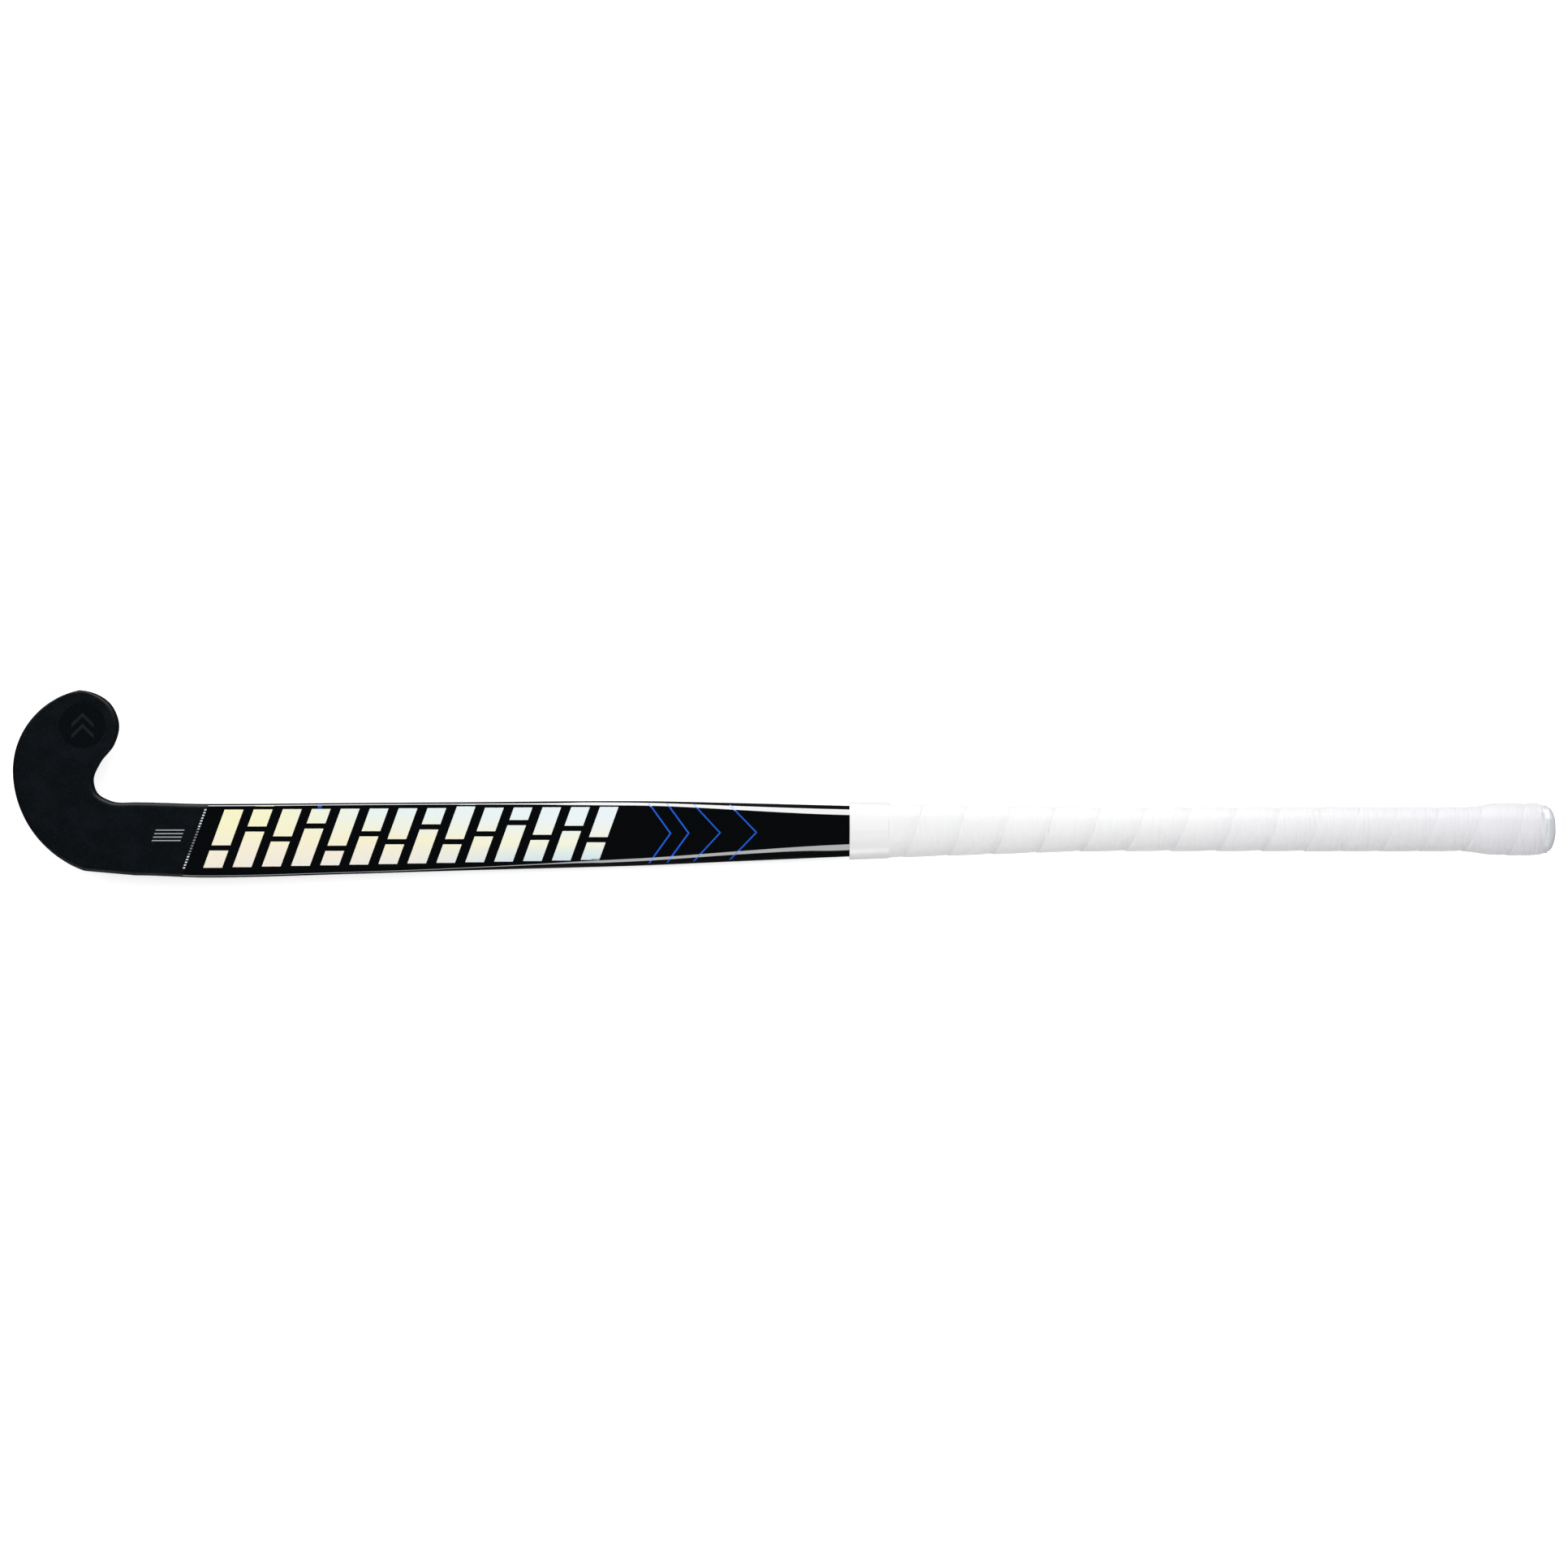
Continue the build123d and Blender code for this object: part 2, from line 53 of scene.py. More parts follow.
LENGTH = 927.0
HANDLE_WIDTH = 22.6
BLADE_WIDTH = 44.4
DEPTH_OF_HEAD = 18.5
HEEL_Y = -56.0
NECK = 72.5
SHAFT = LENGTH - NECK
GRIP_START = 502.0
SHELL_END = LENGTH - 12.0
CAP_START = LENGTH - 5.0
COLLAR_START = SHELL_END - 42.0
FLARE = 2.4
FLARE_RISE = 20.0
TAPE_UNDER = 1.2
TAPE_TOP = 2.7
BOW_START = 110.0
BOW_LENGTH = 330.0
BOW_TURN = 0.150
HANDLE_SLOPE = 0.035
SLANT = tan(radians(20.0))
EDGE_MARGIN = 1.4
BADGE_U, BADGE_Y, BADGE_RADIUS = 41.5, 35.5, 13.6
FOIL_START, FOIL_PITCH, FOIL_BLOCK, FOIL_GAP = 131.0, 17.3, 11.2, 3.2
GLOSS_START = 120.5
TICK_COUNT, TICK_PITCH = 22, 1.66
BAR_COUNT, BAR_LENGTH, BAR_PITCH = 4, 17.0, 2.1
LINE_WIDTH = 1.1
TAPE_WIDTH = 38.0
THREADS = 430.0

TAPER = [(0, 0.982), (0.05, 1), (0.15, 0.936), (0.225, 0.872), (0.35, 0.77), (0.42, 0.6)]
TAPER += [(0.5, 0.385), (0.59, 0.183), (0.7, 0), (1, 0)]
MIDDLE = [(0, -32.6), (0.05, -33.8), (0.15, -32.5), (0.35, -29.6), (0.5, -28.2)]
MIDDLE += [(0.7, -26.9), (1, -26.9)]
DEPTH = [(0, DEPTH_OF_HEAD), (0.15, 19.725), (0.5, 21.65), (0.7, 22.0), (1, 22.0)]
BEVEL = [(0, 0), (0.2, 0), (0.35, 1), (1, 1)]
BACK_FULLNESS = [(0, 0.76), (0.15, 0.66), (0.4, 0.6), (1, 0.56)]
HOOK_SIDE = {
    "out": [(0, 0), (0.2, 0), (0.35, 0.5), (0.5, 2), (1, 2)],
    "inner": [(0, 3), (0.2, 3), (0.35, 3), (0.5, 6.3), (1, 6.3)],
    "depth": [(0, 3), (0.2, 3), (0.35, 2.2), (0.5, 3.3), (1, 3.3)],
}
HEEL_SIDE = {
    "out": [(0, 0), (0.15, 0), (0.35, 2.4), (0.5, 5.1), (1, 4)],
    "inner": [(0, 3), (0.15, 3), (0.35, 4.9), (0.5, 8), (1, 7)],
    "depth": [(0, 3), (0.2, 3), (0.35, 2.2), (0.5, 2.6), (1, 2.6)],
}


def along(knots, place):
    """Value at a place, on a smooth curve through the knots."""
    last = len(knots) - 1
    if place <= knots[0][0]:
        return knots[0][1]
    if place >= knots[last][0]:
        return knots[last][1]
    i = bisect_right([k[0] for k in knots], place) - 1
    slopes = []
    for j in (i, i + 1):
        before, here, after = knots[max(j - 1, 0)], knots[j], knots[min(j + 1, last)]
        rising = (here[1] - before[1]) * (after[1] - here[1]) > 0
        slopes.append((after[1] - before[1]) / (after[0] - before[0]) if rising else 0.0)
    span = knots[i + 1][0] - knots[i][0]
    s = (place - knots[i][0]) / span
    value = (1 - s) ** 2 * (1 + 2 * s) * knots[i][1] + s * s * (3 - 2 * s) * knots[i + 1][1]
    return value + span * s * (1 - s) * ((1 - s) * slopes[0] - s * slopes[1])


def smooth(low, high, value):
    """0 below low, 1 above high, easing between."""
    t = min(1.0, max(0.0, (value - low) / (high - low)))
    return t * t * (3 - 2 * t)


def face_curve(u):
    """Height of the playing face at a distance from the head end, from its straight handle line."""
    past = u - BOW_START - BOW_LENGTH
    inside = max(min(past, 0.0), -BOW_LENGTH)
    height = HANDLE_SLOPE * past + BOW_TURN / BOW_LENGTH * inside * inside / 2
    return height + BOW_TURN * max(0.0, BOW_START - u)


shell_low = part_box("laminate_shell")[0]
bars_low, bars_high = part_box("control_zone_bars")
HEAD_X = shell_low.x / MM
SIDE_SHIFT = shell_low.y / MM - HEEL_Y
FACE_LIFT = bars_high.z / MM - face_curve(bars_low.x / MM - HEAD_X)


def place(u, y, depth):
    """Point in the CAD frame, in metres, from distance along, side place and depth below the face."""
    return Vector((HEAD_X + u, y + SIDE_SHIFT, FACE_LIFT + face_curve(u) - depth)) * MM


def edges_at(u):
    """Y of the hook side and the heel side of the shaft at a distance from the head end."""
    share = (u - NECK) / SHAFT
    width = HANDLE_WIDTH + (BLADE_WIDTH - HANDLE_WIDTH) * along(TAPER, share)
    middle = along(MIDDLE, share)
    return middle + width / 2, middle - width / 2


def arc_through(a, b, c, count):
    """Points of the circle through a, b and c, from a to c."""
    mid1, mid2 = (a + b) / 2, (b + c) / 2
    d1, d2 = (b - a), (c - b)
    cross = d1.x * d2.y - d1.y * d2.x
    t = ((mid2 - mid1).dot(d2)) / cross
    centre = mid1 + Vector((-d1.y, d1.x)) * t
    start, end = a - centre, c - centre
    turn = start.angle_signed(end)
    return [centre + Matrix.Rotation(-turn * k / count, 2) @ start for k in range(count + 1)]


def measured(points):
    """A polyline as (distance from its start, point) pairs."""
    total, out = 0.0, [(0.0, points[0])]
    for before, after in zip(points, points[1:]):
        total += (after - before).length
        out.append((total, after))
    return out


def at_share(line, share):
    """Point at a share of the way along a measured line."""
    target = share * line[-1][0]
    i = min(max(bisect_right([d for d, p in line], target) - 1, 0), len(line) - 2)
    (d0, p0), (d1, p1) = line[i], line[i + 1]
    return p0.lerp(p1, (target - d0) / (d1 - d0))


def head_outlines():
    """The inside of the hook, and the sole, heel and outer bend, both from the neck to the tip."""
    hook_y, heel_y = edges_at(NECK)
    tip = Vector((39.0, 56.8))
    knots = [(NECK, hook_y), (57.5, -9.9), (49.0, -4.9), (46.7, 3.0), (51.0, 13.6), (59.0, 24.0)]
    knots = [Vector(k) for k in knots + [(62.0, 36.0), (57.2, 48.4)]] + [tip]
    steps = [(b - a).length for a, b in zip(knots, knots[1:])]
    tangents = [Vector((-1.0, 0.03))]
    for i in range(1, len(knots) - 1):
        before = (knots[i] - knots[i - 1]) / steps[i - 1]
        after = (knots[i + 1] - knots[i]) / steps[i]
        tangents.append((before * steps[i] + after * steps[i - 1]) / (steps[i] + steps[i - 1]))
    tangents.append(Vector((-1.0, 0.02)))
    crook = [knots[0]]
    for i, step in enumerate(steps):
        a, b = knots[i], knots[i + 1]
        piece = interpolate_bezier(a, a + tangents[i] * step / 3, b - tangents[i + 1] * step / 3, b, 24)
        crook += [Vector((p.x, p.y)) for p in piece[1:]]
    sole_end, heel_end = Vector((42.1, -51.8)), Vector((0.0, 8.0))
    heel = [Vector((NECK, heel_y)).lerp(sole_end, k / 10) for k in range(10)]
    heel += arc_through(sole_end, Vector((9.3, -24.6)), heel_end, 60)
    heel += arc_through(heel_end, Vector((13.6, 42.5)), tip, 60)[1:]
    return measured(crook), measured(heel)


CROOK, HEEL = head_outlines()


def curve_points(a, b, c, d, steps):
    """Points of a cubic curve at the given shares."""
    return [
        (
            (1 - t) ** 3 * a[0] + 3 * t * (1 - t) ** 2 * b[0] + 3 * t * t * (1 - t) * c[0] + t**3 * d[0],
            (1 - t) ** 3 * a[1] + 3 * t * (1 - t) ** 2 * b[1] + 3 * t * t * (1 - t) * c[1] + t**3 * d[1],
        )
        for t in steps
    ]


def side_points(side, width, share, inset, top, back):
    """(In from the edge, depth), from the face round the corner and side to the middle of the back."""
    bevel, fullness = along(BEVEL, share), along(BACK_FULLNESS, share)
    out, depth = along(side["out"], share), along(side["depth"], share)
    inner = min(along(side["inner"], share), width * 0.4)
    middle = top + 0.46 * (back - top)
    a = (max(inner + 0.4 * bevel * inset, inset + 1.2), top + inset)
    b = (out + inset, top + depth + 0.4 * inset)
    c, d = (inset, middle), (width / 2, back - inset)
    run, drop, fall = b[0] - a[0], b[1] - a[1], c[1] - b[1]
    near, chord = 0.55 * (1 - bevel), bevel / 3
    keep = min(0.2, 0.25 / max(0.5, hypot(run, drop)))
    corner = curve_points(
        a,
        (a[0] + run * (near + chord), a[1] + drop * chord),
        (b[0] - run * chord, b[1] - drop * (near + chord)),
        b,
        (keep, 0.2 + keep / 2, 0.4, 0.6, 0.8 - keep / 2, 1 - keep),
    )
    flank = curve_points(
        b, (b[0] - out * 0.5, b[1] + fall * 0.33), (c[0], c[1] - fall * 0.4), c, (0.05, 0.2, 0.4, 0.6, 0.8)
    )
    rest = curve_points(
        c,
        (c[0], c[1] + (d[1] - c[1]) * fullness),
        (d[0] - (d[0] - c[0]) * fullness, d[1]),
        d,
        [k / 14 for k in range(15)],
    )
    return a, corner + flank + rest


def ring_between(hook, heel, share, inset, top, back):
    """Closed cross-section between two outline points (u, Y): first across the face, heel to hook."""
    hook, heel = Vector(hook), Vector(heel)
    width = (hook - heel).length
    hook_face, hook_rest = side_points(HOOK_SIDE, width, share, inset, top, back)
    heel_face, heel_rest = side_points(HEEL_SIDE, width, share, inset, top, back)
    start, end = width - heel_face[0], hook_face[0]
    keep = min(0.2, 0.25 / max(0.5, start - end))
    shares = (keep, 0.05 + keep, 0.15, 0.28, 0.42, 0.58, 0.72, 0.85, 0.95 - keep, 1 - keep)
    points = [(start + (end - start) * t, top + inset) for t in shares]
    points += hook_rest
    points += [(width - q, depth) for q, depth in reversed(heel_rest[:-1])]
    out = []
    for q, depth in points:
        flat = hook.lerp(heel, q / width)
        out.append(place(flat.x, flat.y, depth))
    return out


def head_ring(step):
    """Cross-section of the head at a share of the way from the neck (0) to the tip (1)."""
    crook, heel = at_share(CROOK, step), at_share(HEEL, step)
    to_tip = (CROOK[-1][1] - (crook + heel) / 2).length
    face_gap, back_gap = max(0.0, 1 - to_tip / 3.0), max(0.0, 1 - to_tip / 9.0)
    top = 3.0 * (1 - sqrt(1 - face_gap**2))
    back = DEPTH_OF_HEAD - 3.5 * step - 6.3 * (1 - sqrt(1 - back_gap**2))
    return ring_between(crook, heel, 0.0, 0.0, top, back)


def shaft_ring(u, inset=0.0):
    """Cross-section of the shaft; a negative inset stands outside it."""
    hook_y, heel_y = edges_at(u)
    share = (u - NECK) / SHAFT
    return ring_between((u, hook_y), (u, heel_y), share, inset, 0.0, along(DEPTH, share))


# ---------------------------------------------------------------- mesh helpers


def piece(name, bm, slot, finish, stands_for=(), angle=None, smooth_shading=True):
    """Turns a bmesh into a finished piece of the stick."""
    bmesh.ops.recalc_face_normals(bm, faces=bm.faces[:])
    for face in bm.faces:
        face.smooth = smooth_shading
    mesh = bpy.data.meshes.new(name)
    bm.to_mesh(mesh)
    bm.free()
    if angle is not None:
        mesh.set_sharp_from_angle(angle=radians(angle))
    obj = bpy.data.objects.new(name, mesh)
    bpy.context.scene.collection.objects.link(obj)
    mesh.materials.append(finish)
    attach(obj, "root")
    if stands_for:
        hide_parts(*stands_for)
    return obj


def extend(bm, loop, ring):
    """Grows an open end by one ring of points and returns the new end's vertices in order."""
    order = {v: i for i, v in enumerate(loop)}
    count = len(loop)
    edges = []
    for i, v in enumerate(loop):
        edges += [e for e in v.link_edges if e.other_vert(v) is loop[(i + 1) % count]]
    grown = bmesh.ops.extrude_edge_only(bm, edges=edges)["geom"]
    fresh = [None] * count
    for v in grown:
        if isinstance(v, bmesh.types.BMVert):
            old = next(e.other_vert(v) for e in v.link_edges if e.other_vert(v) in order)
            fresh[order[old]] = v
    for v, point in zip(fresh, ring):
        v.co = point
    return fresh


def close_end(bm, loop):
    """Closes an open end with a flat fan."""
    face = bmesh.ops.contextual_create(bm, geom=loop)["faces"]
    bmesh.ops.poke(bm, faces=face)


def tube(rings, capped=True, marks=()):
    """A skin over a row of rings, grown ring by ring; marks: painted seam shade, every ring but the first.
    """
    bm = bmesh.new()
    # Point layer of painted shade for the grip tape's seams, read by the grip finish
    groove = bm.verts.layers.float.new("groove")
    loop = bmesh.ops.create_circle(bm, cap_ends=False, segments=len(rings[0]), radius=1.0)["verts"]
    for v, point in zip(loop, rings[0]):
        v.co = point
    first = loop
    for ring in rings[1:]:
        loop = extend(bm, loop, ring)
        for v, mark in zip(loop, marks):
            v[groove] = mark
    if capped:
        close_end(bm, first)
        close_end(bm, loop)
    return bm


def band(rings):
    """A sleeve whose last ring meets its first: no ends to close."""
    bm = tube(rings + [rings[0]], capped=False)
    bmesh.ops.remove_doubles(bm, verts=bm.verts[:], dist=1e-7)
    return bm


# ---------------------------------------------------------------- shader helpers


class Signal:
    """A node's output that Python operators can work on."""

    def __init__(self, finish, socket):
        self.finish, self.socket = finish, socket

    def math(self, operation, other):
        return self.finish.node("ShaderNodeMath", {"operation": operation}, self, other)

    def __add__(self, other):
        return self.math("ADD", other)

    def __sub__(self, other):
        return self.math("SUBTRACT", other)

    def __mul__(self, other):
        return self.math("MULTIPLY", other)

    def __truediv__(self, other):
        return self.math("DIVIDE", other)

    def __rsub__(self, other):
        return self.finish.node("ShaderNodeMath", {"operation": "SUBTRACT"}, other, self)

    __radd__ = __add__
    __rmul__ = __mul__


class Finish:
    """A material and the nodes behind it."""

    def __init__(self, name, **constants):
        self.material = bpy.data.materials.new(name)
        self.material.use_nodes = True
        self.tree = self.material.node_tree
        self.shader = self.tree.nodes["Principled BSDF"]
        for socket, value in constants.items():
            self.set(socket.replace("_", " ").title().replace("Ior", "IOR"), value)
        self.place = self.node("ShaderNodeTexCoord", {}, output="Object")

    def fill(self, target, value):
        if isinstance(value, Signal):
            self.tree.links.new(value.socket, target)
        elif isinstance(value, tuple) and target.type == "RGBA":
            target.default_value = (*value, 1.0)
        else:
            target.default_value = value

    def set(self, socket, value):
        self.fill(self.shader.inputs[socket], value)

    def node(self, kind, settings, *values, output=0, at=None, **named):
        """A node with its settings made first, then its sockets by order, by number (at) and by name."""
        made = self.tree.nodes.new(kind)
        for key, value in settings.items():
            if key == "stops":
                ramp = made.color_ramp
                while len(ramp.elements) < len(value):
                    ramp.elements.new(0.5)
                for element, (position, colour) in zip(ramp.elements, value):
                    element.position = position
                    element.color = (*colour, 1.0)
            else:
                setattr(made, key, value)
        pairs = list(enumerate(values)) + list((at or {}).items())
        pairs += [(k.replace("_", " "), v) for k, v in named.items()]
        for key, value in pairs:
            self.fill(made.inputs[key], value)
        return Signal(self, made.outputs[output])

    def axis(self, name):
        return self.node("ShaderNodeSeparateXYZ", {}, self.place, output=name)

    def scaled(self, x, y, z, turn=0.0):
        return self.node("ShaderNodeMapping", {}, self.place, Rotation=(0, 0, turn), Scale=(x, y, z))

    def noise(self, scale, detail=2.0, vector=None):
        vector = vector or self.place
        return self.node("ShaderNodeTexNoise", {}, Vector=vector, Scale=scale, Detail=detail)

    def step(self, value, low, high):
        """0 below low, 1 above high, smooth between."""
        settings = {"interpolation_type": "SMOOTHSTEP"}
        return self.node("ShaderNodeMapRange", settings, value, low, high, 0.0, 1.0)

    def ramp(self, value, *stops):
        return self.node("ShaderNodeValToRGB", {"stops": stops}, value)

    def blend(self, factor, first, second):
        """One colour into another; the colour mixer's sockets share names, so they go by number."""
        sockets = {0: factor, 6: first, 7: second}
        return self.node("ShaderNodeMix", {"data_type": "RGBA"}, output=2, at=sockets)

    def bump(self, height, distance, strength=1.0, under=None):
        named = {"Height": height, "Distance": distance, "Strength": strength}
        if under is not None:
            named["Normal"] = under
        return self.node("ShaderNodeBump", {}, **named)


def threads(finish, scale, direction):
    """Even bands across a direction, as the threads of a woven cloth."""
    settings = {"wave_type": "BANDS", "bands_direction": direction, "wave_profile": "SIN"}
    return finish.node("ShaderNodeTexWave", settings, Vector=finish.place, Scale=scale)


# ---------------------------------------------------------------- finishes


def lacquer():
    """Gloss black along the shaft, fine matte black with dark flecks on the head."""
    f = Finish("lacquer", specular_ior_level=0.15, coat_roughness=0.03, coat_ior=1.5)
    border = (HEAD_X + GLOSS_START) * MM
    across = f.axis("X") - (f.axis("Y") * SLANT + border)
    gloss = f.step(across, -0.0004, 0.0004)
    flecks = f.step(f.noise(1500.0, 2.0), 0.57, 0.66)
    clouds = f.noise(70.0, 3.0)
    matte = f.blend(flecks * 0.55, (0.0012, 0.0023, 0.0033), (0.010, 0.015, 0.021))
    matte = f.blend(f.step(clouds, 0.4, 0.75) * 0.30, matte, (0.006, 0.009, 0.013))
    f.set("Base Color", f.blend(gloss, matte, (0.0012, 0.0018, 0.0024)))
    scuffs = f.step(f.noise(9.0, 6.0, f.scaled(1, 14, 14)), 0.60, 0.78)
    f.set("Roughness", gloss * -0.40 + 0.46 + scuffs * 0.03)
    f.set("Coat Weight", gloss)
    grain = f.noise(2600.0, 2.0) * (1 - gloss)
    f.set("Normal", f.bump(grain + f.noise(22.0, 1.0) * gloss * 0.25, 0.00003, 0.5))
    return f.material


def foil():
    """Pale iridescent foil: creamy at the head end, turning bluish towards the grip."""
    f = Finish("iridescent_foil", metallic=0.0, ior=1.5)
    across = (f.axis("Y") - SIDE_SHIFT * MM + 0.050) / 0.036
    far = (f.axis("X") - (HEAD_X + 113.0) * MM) / 0.245
    warm = f.ramp(across, (0.0, (0.93, 0.84, 0.70)), (0.35, (0.97, 0.88, 0.68)), (0.7, (0.98, 0.94, 0.57)))
    mild = f.ramp(across, (0.0, (0.86, 0.83, 0.80)), (0.45, (0.97, 0.90, 0.62)), (0.9, (0.85, 0.93, 0.90)))
    cool = f.ramp(across, (0.0, (0.50, 0.74, 0.95)), (0.4, (0.95, 0.94, 0.74)), (0.85, (0.86, 0.93, 0.96)))
    colour = f.blend(f.step(far, 0.05, 0.5), warm, mild)
    colour = f.blend(f.step(far, 0.45, 0.95), colour, cool)
    shimmer = f.step(f.noise(60.0, 3.0, f.scaled(1, 5, 1)), 0.35, 0.7)
    colour = f.blend(shimmer * 0.10, colour, (0.72, 0.90, 1.0))
    f.set("Base Color", f.blend(f.noise(4200.0, 1.0) * 0.07, colour, (0.62, 0.66, 0.66)))
    f.set("Roughness", f.noise(1800.0, 2.0) * 0.22 + 0.26)
    f.set("Coat Weight", 0.4)
    return f.material


def printed(name, colour, other, roughness=0.32):
    """Ink with a slight screen grain."""
    f = Finish(name, ior=1.5)
    grain = f.noise(3800.0, 1.0)
    f.set("Base Color", f.blend(f.step(grain, 0.45, 0.7) * 0.5, colour, other))
    f.set("Roughness", grain * 0.12 + roughness)
    return f.material


def tick_print():
    """White marks at both ends of the run, grey in the middle."""
    f = Finish("white_print", ior=1.5)
    across = f.axis("Y") / MM - SIDE_SHIFT
    grey = f.step(across, -42.5, -41.8) * (1 - f.step(across, -27.0, -26.3))
    colour = f.blend(grey, (0.78, 0.80, 0.82), (0.22, 0.23, 0.24))
    f.set("Base Color", f.blend(f.noise(3800.0, 1.0) * 0.2, colour, (0.3, 0.3, 0.32)))
    f.set("Roughness", 0.35)
    return f.material


def badge_gloss():
    """Near-black gloss, a shade cooler than the shell."""
    f = Finish("badge_gloss", ior=1.5, coat_weight=0.6, coat_roughness=0.05)
    cloudy = f.noise(900.0, 2.0) * 0.3
    f.set("Base Color", f.blend(cloudy, (0.0012, 0.0026, 0.0034), (0.004, 0.006, 0.008)))
    f.set("Roughness", f.noise(500.0, 2.0) * 0.05 + 0.10)
    return f.material


def badge_marks():
    """Matte black like the head, for the chevrons on the badge."""
    f = Finish("badge_marks", ior=1.45)
    flecks = f.step(f.noise(1500.0, 2.0), 0.55, 0.66)
    f.set("Base Color", f.blend(flecks * 0.5, (0.0035, 0.005, 0.0065), (0.011, 0.015, 0.020)))
    f.set("Roughness", f.noise(700.0, 2.0) * 0.08 + 0.46)
    return f.material


def grip_white():
    """Soft white tape: fine pores, faint stretch creases along the winding, a trace of handling."""
    f = Finish("white_grip_tape", specular_ior_level=0.2, sheen_weight=0.12, sheen_roughness=0.5)
    along_wind = f.scaled(9, 1.2, 1.2, radians(-24))
    creases = f.noise(55.0, 3.0, along_wind)
    pores = f.noise(2400.0, 2.0)
    mottle = f.step(f.noise(26.0, 4.0), 0.45, 0.75)
    colour = f.blend(mottle * 0.10, (0.90, 0.90, 0.905), (0.80, 0.80, 0.83))
    cool = f.step(f.axis("X"), (HEAD_X + 640) * MM, (HEAD_X + 920) * MM)
    colour = f.blend(cool, colour, (0.80, 0.795, 0.825))
    # Painted shade: the tape darkens towards the seams where one turn laps the next
    groove = f.node("ShaderNodeAttribute", {"attribute_name": "groove"}, output="Fac")
    colour = f.blend(groove * 0.14, colour, (0.52, 0.52, 0.54))
    f.set("Base Color", f.blend(f.step(pores, 0.62, 0.72) * 0.10, colour, (0.66, 0.66, 0.68)))
    f.set("Roughness", creases * 0.12 + 0.46)
    pits = f.bump(pores, 0.00004, 0.35)
    f.set("Normal", f.bump(f.step(creases, 0.3, 0.75), 0.0006, 0.6, pits))
    return f.material


def vinyl_white():
    """Smooth stretched tape with a few long creases."""
    f = Finish("white_vinyl", ior=1.5)
    f.set("Base Color", f.blend(f.noise(40.0, 3.0) * 0.12, (0.90, 0.90, 0.90), (0.80, 0.80, 0.82)))
    f.set("Roughness", f.noise(300.0, 2.0) * 0.10 + 0.30)
    creases = f.noise(30.0, 3.0, f.scaled(1, 5, 5))
    f.set("Normal", f.bump(creases, 0.0003, 0.4))
    return f.material


def cap_white():
    """Moulded off-white rubber."""
    f = Finish("white_cap", ior=1.5)
    f.set("Base Color", f.blend(f.noise(60.0, 3.0) * 0.2, (0.68, 0.70, 0.73), (0.60, 0.63, 0.66)))
    f.set("Roughness", f.noise(900.0, 2.0) * 0.10 + 0.38)
    f.set("Normal", f.bump(f.noise(1600.0, 2.0), 0.00003, 0.4))
    return f.material


def foam(name, colour, pore_scale):
    """Foam with open cells, darker in their middles with painted shade."""
    f = Finish(name, ior=1.4)
    cells = f.node("ShaderNodeTexVoronoi", {}, Vector=f.place, Scale=pore_scale)
    shade = tuple(c * 0.72 for c in colour)
    f.set("Base Color", f.blend(f.step(cells, 0.1, 0.6) * 0.6, shade, colour))
    f.set("Roughness", f.noise(400.0) * 0.08 + 0.84)
    f.set("Normal", f.bump(cells, 0.0003, 0.5))
    return f.material


def weave(name, colour, other, roughness):
    """Woven fibres set in resin."""
    f = Finish(name, ior=1.5)
    first, second = threads(f, THREADS, "X"), threads(f, THREADS, "Y")
    over = first * second + (1 - first) * (1 - second)
    f.set("Base Color", f.blend(over, colour, other))
    f.set("Roughness", f.noise(200.0) * 0.08 + roughness)
    f.set("Normal", f.bump(over, 0.0002, 0.5))
    return f.material


def plastic(name, colour, roughness, wrinkle=0.00003):
    """Moulded plastic or film; a deeper wrinkle makes it film."""
    f = Finish(name, ior=1.5)
    f.set("Base Color", f.blend(f.noise(35.0, 3.0) * 0.25, colour, tuple(c * 0.8 for c in colour)))
    f.set("Roughness", f.noise(300.0, 2.0) * 0.12 + roughness)
    f.set("Normal", f.bump(f.noise(240.0, 3.0), wrinkle, 0.5))
    return f.material


# ---------------------------------------------------------------- laminate shell

TIP_STEPS = [0.999, 0.997, 0.994, 0.990, 0.985, 0.980, 0.973, 0.966, 0.958, 0.95, 0.94, 0.93, 0.92, 0.91]
head_steps = TIP_STEPS + [0.90 - 0.0125 * k for k in range(72)]
shaft_places = [NECK + 4.0 * k for k in range(1, 210) if NECK + 4.0 * k < SHELL_END - 2] + [SHELL_END]
shell_rings = [head_ring(step) for step in head_steps] + [shaft_ring(NECK)]
shell_rings += [shaft_ring(u) for u in shaft_places]
piece("laminate_shell_skin", tube(shell_rings), "gloss_black_lacquer", lacquer(), ["laminate_shell"])

# ---------------------------------------------------------------- thin graphics on the face

GRAPHIC_LIFT = 0.05
GRAPHIC_THICKNESS = 0.07


def depth_on_face(u, y):
    """Depth of the visible surface below the face line, for graphics that cross the bevels."""
    if u < NECK + 12:
        return 0.0
    hook_y, heel_y = edges_at(u)
    width = hook_y - heel_y
    share = (u - NECK) / SHAFT
    for side, distance in ((HOOK_SIDE, hook_y - y), (HEEL_SIDE, y - heel_y)):
        face_end, points = side_points(side, width, share, 0.0, 0.0, along(DEPTH, share))
        if distance < face_end[0]:
            points = [(face_end[0], 0.0)] + points
            for (q0, d0), (q1, d1) in zip(points, points[1:]):
                if q1 <= distance <= q0:
                    return d0 + (d1 - d0) * (q0 - distance) / max(q0 - q1, 1e-6)
            return points[1][1]
    return 0.0


